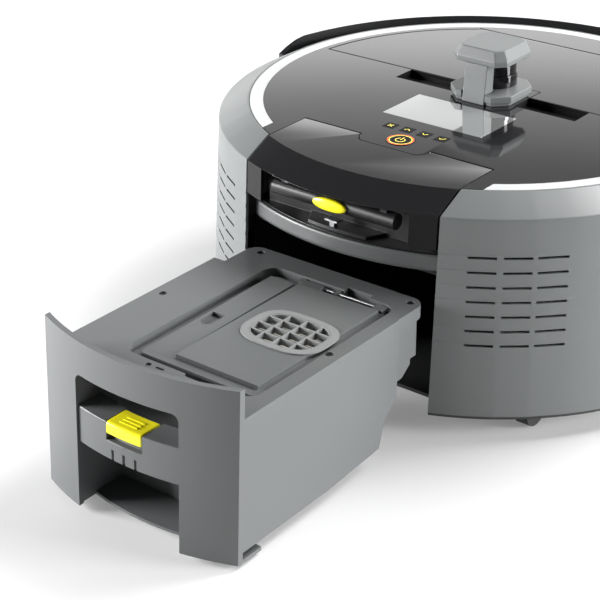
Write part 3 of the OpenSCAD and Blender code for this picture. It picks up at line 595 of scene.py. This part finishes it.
def latch_cover():
    """Latch: a bent plate's section, of depth d and height z, carried across x on the panel's arc, with ribs.

    At each x the section moves back by R - sqrt(R^2 - x^2). At both ends it draws in by half the fall of a
    quarter circle.
    """
    lo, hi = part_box("drawer_latch")
    depth, drop, plate, lip, end_round = 27 * MM, 12.1 * MM, 3.3 * MM, 3.5 * MM, 1.6 * MM
    top = hi.z
    outline = round_corners(
        [(depth, top), (0, top), (0, top - drop), (lip, top - drop), (lip, top - plate),
         (depth, top - plate)],
        [4.5 * MM, 0.8 * MM, 0.8 * MM, 1.0 * MM], steps=8)
    ends = np.array([0.88, 0.93, 0.965, 0.985, 1])
    x = hi.x * np.concatenate([-ends[::-1], np.linspace(-0.8, 0.8, 13), ends])
    near_end = np.clip((np.abs(x) - (hi.x - end_round)) / end_round, 0, 1)
    draw_in = end_round * (1 - np.sqrt(1 - near_end ** 2))
    arc = SHELL_R - np.sqrt(SHELL_R ** 2 - x ** 2)
    centre = outline.mean(0)
    pull = np.clip(np.sign(centre - outline), -1, 1)
    points = np.stack([x[None, :] + 0 * outline[:, :1],
                       lo.y + arc[None, :] + outline[:, :1] + 0.5 * draw_in * pull[:, :1],
                       outline[:, 1:] + 0.5 * draw_in * pull[:, 1:]], -1)
    rows, cols = points.shape[:2]
    faces = list(grid_faces(rows, cols, wrap_rows=True))
    faces += [[k * cols for k in range(rows)], [k * cols + cols - 1 for k in reversed(range(rows))]]
    made = tidy_normals(mesh_piece("drawer_latch_cover", points, faces))
    sharpen(made, 50)
    place(made, "drawer_latch")
    for k in range(3):
        y = lo.y + (9 + 5.0 * k) * MM
        stroke(f"latch_rib_{k}", [(-11 * MM, y), (0, y), (11 * MM, y)], 2.0 * MM, top - 0.3 * MM,
               top + 0.9 * MM, "drawer_latch", FINISH["yellow"])


def hatch_seam_painted_shade():
    """Matt black strip round the hatch, painted shade for its seam: a narrow strip that follows its outline
    just outside its edge.

    The outline is an arc of the hatch's radius cut off by the straight side nearest the middle.
    """
    apart = 0.6 * MM
    edge_y = low("front_hatch").y - apart
    radius = HATCH_R + apart
    first, final = math.asin(edge_y / radius), math.asin(HATCH_FRONT_Y / radius)
    turns = np.linspace(final, first, 40)
    arc = np.stack([radius * np.cos(turns), radius * np.sin(turns)], 1)
    end_x = arc[-1, 0] - 4 * MM
    line = np.vstack([arc, [[x, edge_y] for x in np.linspace(end_x, -end_x, 24)], arc[::-1] * (-1, 1)])
    # the strip stands for the shade in the seam round the hatch: painted shade
    stroke("hatch_seam_painted_shade", line, 2.0 * MM, DECK_Z - 0.9 * MM, DECK_Z + 0.15 * MM, "top_deck", KEY_BLACK)


def tread_tyre(side):
    """Tyre: radius over width is a flat-topped hump, cut by slanting grooves round it.

    Columns run across the width, rows round the axle. A groove is a dip where the sine of 30 times the turn,
    moved on by the place across the width, is under -0.4.
    """
    name = "wheel_tyre_right" if side > 0 else "wheel_tyre_left"
    lo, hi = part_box(name)
    centre_x, centre_z = (lo.x + hi.x) / 2, (lo.z + hi.z) / 2
    outer = (hi.z - lo.z) / 2
    half = (hi.x - lo.x) / 2
    half_across = np.array([0.25, 0.55, 0.8, 0.97, 1.0, 1.0, 0.9])
    across = np.concatenate([-half_across[::-1], [0], half_across])
    shoulder = np.array([47.2, 49, 62, 66])
    reach = np.concatenate([shoulder, np.full(7, outer / MM), shoulder[::-1]]) * MM
    turns = np.linspace(0, 2 * math.pi, 360, endpoint=False)
    wave = np.sin(30 * turns[:, None] + 5 * np.abs(across)[None, :])
    dip = np.where((wave < -0.4) & (reach[None, :] > 65 * MM), 2.2 * MM, 0)
    r = reach[None, :] - dip
    points = np.stack([centre_x + half * across[None, :] + 0 * r, r * np.cos(turns)[:, None],
                       centre_z + r * np.sin(turns)[:, None]], -1)
    made = tidy_normals(mesh_piece(name + "_tread", points, grid_faces(360, len(across), True, True)))
    sharpen(made, 32)
    return place(made, name)


def icons():
    """Generic marks on the keys: a cross, arrows up and down, and a tick."""
    marks = {
        "key_cancel": [[(-2.6, -2.6), (0, 0), (2.6, 2.6)], [(-2.6, 2.6), (0, 0), (2.6, -2.6)]],
        "key_up": [[(-3.4, -1.6), (0, 1.8), (3.4, -1.6)]],
        "key_down": [[(-3.4, 1.6), (0, -1.8), (3.4, 1.6)]],
        "key_confirm": [[(-3.4, 0.4), (-1.0, -2.2), (3.6, 2.4)]],
    }
    for key, lines in marks.items():
        lo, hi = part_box(key)
        cx, cy = (lo.x + hi.x) / 2, (lo.y + hi.y) / 2
        for k, line in enumerate(lines):
            stroke(f"{key}_mark_{k}", [(cx + x * MM, cy + y * MM) for x, y in line], 1.1 * MM,
                   hi.z - 0.1 * MM, hi.z + 0.12 * MM, key, ICON_YELLOW)
    lo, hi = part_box("power_button")
    cx, cy = (lo.x + hi.x) / 2, (lo.y + hi.y) / 2
    z0, z1 = hi.z - 0.1 * MM, hi.z + 0.15 * MM
    for name, r0, r1, material in (("power_ring_red", 13.5, 14.6, ICON_RED),
                                   ("power_ring_yellow", 11.7, 12.7, ICON_YELLOW)):
        flat_ring(name, (cx, cy), r0 * MM, r1 * MM, z0, z1, "power_button", material)
    flat_ring("power_mark_arc", (cx, cy - 0.5 * MM), 4.6 * MM, 5.6 * MM, z0, z1, "power_button", ICON_YELLOW,
              start=120, end=420)
    stroke("power_mark_bar", [(cx, cy + y * MM) for y in (-0.5, 3, 7)], 1.0 * MM, z0, z1, "power_button",
           ICON_YELLOW)


# ---------------------------------------------------------------- build
studio()
side_panel(1)
side_panel(-1)
rear_band()
# bevel widths of the nodes whose edges are softened, in millimetres
SOFT_EDGES = {
    "light_ring": 0.4, "display_screen": 0.2, "front_hatch": 0.4, "recess_shelf": 0.6, "bumper": 1.2,
    "tower_base": 1.0, "tower_bracket": 1.2, "lidar_housing": 0.8, "lidar_rotor": 0.7, "lid_grip": 1.2,
    "drawer_front": 1.2, "drawer_tub": 0.8, "tub_top": 0.9,
    "container_lid": 0.6, "filter_grid": 0.4, "key_cancel": 0.3, "key_up": 0.3, "key_down": 0.3,
    "key_confirm": 0.3, "power_button": 0.5, "striker_plate": 0.3, "base_pan": 0.8, "tub_screws": 0.3,
}
OWN_FINISH = {"key_cancel": KEY_BLACK, "key_up": KEY_BLACK, "key_down": KEY_BLACK, "key_confirm": KEY_BLACK,
              "power_button": KEY_BLACK, "tub_screws": SCREW_DARK, "filter_grid": GRID_TEXTURE,
              "lidar_rotor": SENSOR_GLOSS, "lidar_housing": SENSOR_GLOSS}
for part_name, edge in SOFT_EDGES.items():
    refined(part_name, edge * MM, material=OWN_FINISH.get(part_name))
# the corners where the deck and the rear lid interlock
DECK_NOTCH = [(side * x * MM, y * MM, r * MM) for side in (-1, 1)
              for x, y, r in ((43.9, -173.9, 2.5), (35.9, -190.9, 4.0))]
LID_NOTCH = [(side * 37 * MM, -192 * MM, 4.0 * MM) for side in (-1, 1)]
# the standing faces of the deck and the lid take the duller black: painted shade in the seams and on the legs
refined("top_deck", 0.35 * MM, rounds=DECK_NOTCH, shaded_sides_finish=SHADED_SIDES_BLACK)
refined("service_lid", 0.7 * MM, rounds=LID_NOTCH, shaded_sides_finish=SHADED_SIDES_BLACK)
refined("drawer_grip", 1.1 * MM, 3, clamp=False)
lid_button()
latch_cover()
hatch_seam_painted_shade()
tread_tyre(1)
tread_tyre(-1)
for part_name, shown in frame["nodes"].items():
    if not shown.hide_render:
        shown.data.materials.clear()
        shown.data.materials.append(FINISH[NODE_SLOT[part_name]])
icons()
